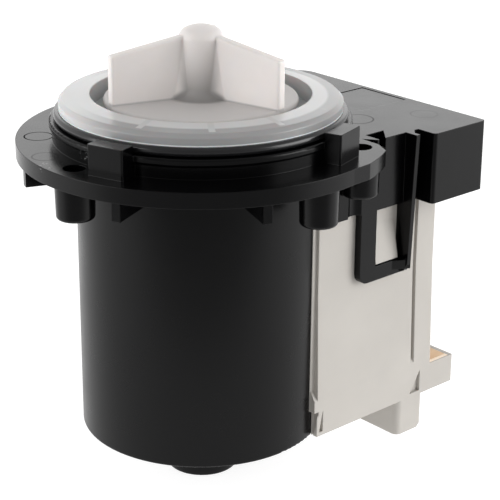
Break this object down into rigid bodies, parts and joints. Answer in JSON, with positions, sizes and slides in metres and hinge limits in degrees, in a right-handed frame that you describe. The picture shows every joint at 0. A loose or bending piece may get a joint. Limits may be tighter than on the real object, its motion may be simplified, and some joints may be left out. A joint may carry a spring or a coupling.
{
  "type": "washing machine drain pump",
  "caption": "Drain pump motor with a vaned impeller on a flanged neck, a round rotor canister beside a boxed coil housing, and a plug-in connector at its foot.",
  "frame": {"origin": "centre of the flange's screw circle, which is on the rotor's axis, at the flange's top face", "axes": "+Z along the rotor's axis from the canister to the impeller, +X from that axis towards the coils"},
  "size_m": [0.1088, 0.0912, 0.1184],
  "materials": {
    "bracket_black": "satin moulded, slightly glossy on top",
    "canister_black": "satin moulded",
    "housing_white": "fine moulded, off-white",
    "plate_clear": "translucent, glossy",
    "impeller_white": "satin, warm white",
    "ring_rubber": "wet-looking black",
    "seal_rubber": "matte",
    "well_plastic": "natural moulded",
    "carrier_plastic": "moulded",
    "bearing_graphite": "sintered",
    "shaft_steel": "ground",
    "magnet_ferrite": "fired ferrite",
    "core_steel": "stacked sheet, varnished",
    "bobbin_plastic": "glass-filled",
    "winding_copper": "enamelled wire",
    "blade_brass": "tinned",
    "cutout_plastic": "moulded",
    "lead_insulation": "insulated wire"
  },
  "bodies": {
    "pump": {"flange_bracket": "bracket_black", "canister": "canister_black", "coil_housing": "housing_white", "seal_plate": "plate_clear", "neck_o_ring": "ring_rubber", "shaft_seal": "seal_rubber", "rotor_well": "well_plastic", "well_gasket": "seal_rubber", "front_bearing_holder": "well_plastic", "front_bearing": "bearing_graphite", "front_thrust_washer": "shaft_steel", "rear_bearing_holder": "seal_rubber", "rear_bearing": "bearing_graphite", "rear_thrust_washer": "shaft_steel", "pole_piece_near": "core_steel", "pole_piece_far": "core_steel", "stator_yoke": "core_steel", "bobbin_near": "bobbin_plastic", "bobbin_far": "bobbin_plastic", "winding_near": "winding_copper", "winding_far": "winding_copper", "thermal_cutout": "cutout_plastic", "terminal_blades": "blade_brass", "lead_near": "lead_insulation", "lead_far": "lead_insulation", "lead_link": "lead_insulation"},
    "rotor": {"rotor_shaft": "shaft_steel", "rotor_carrier": "carrier_plastic", "rotor_magnet": "magnet_ferrite", "rotor_end_cap": "carrier_plastic", "retaining_ring": "shaft_steel", "drive_dog": "carrier_plastic", "coupling_damper": "seal_rubber"},
    "impeller_assembly": {"impeller": "impeller_white", "coupling_cap": "impeller_white"}
  },
  "joints": [
    {"name": "rotor_spin", "type": "hinge", "parent": "pump", "child": "rotor", "pos_m": [0, 0, 0], "axis": [0, 0, 1], "continuous": true},
    {"name": "impeller_free_play", "type": "hinge", "parent": "rotor", "child": "impeller_assembly", "pos_m": [0, 0, 0], "axis": [0, 0, 1], "range_deg": [-120, 120]}
  ]
}
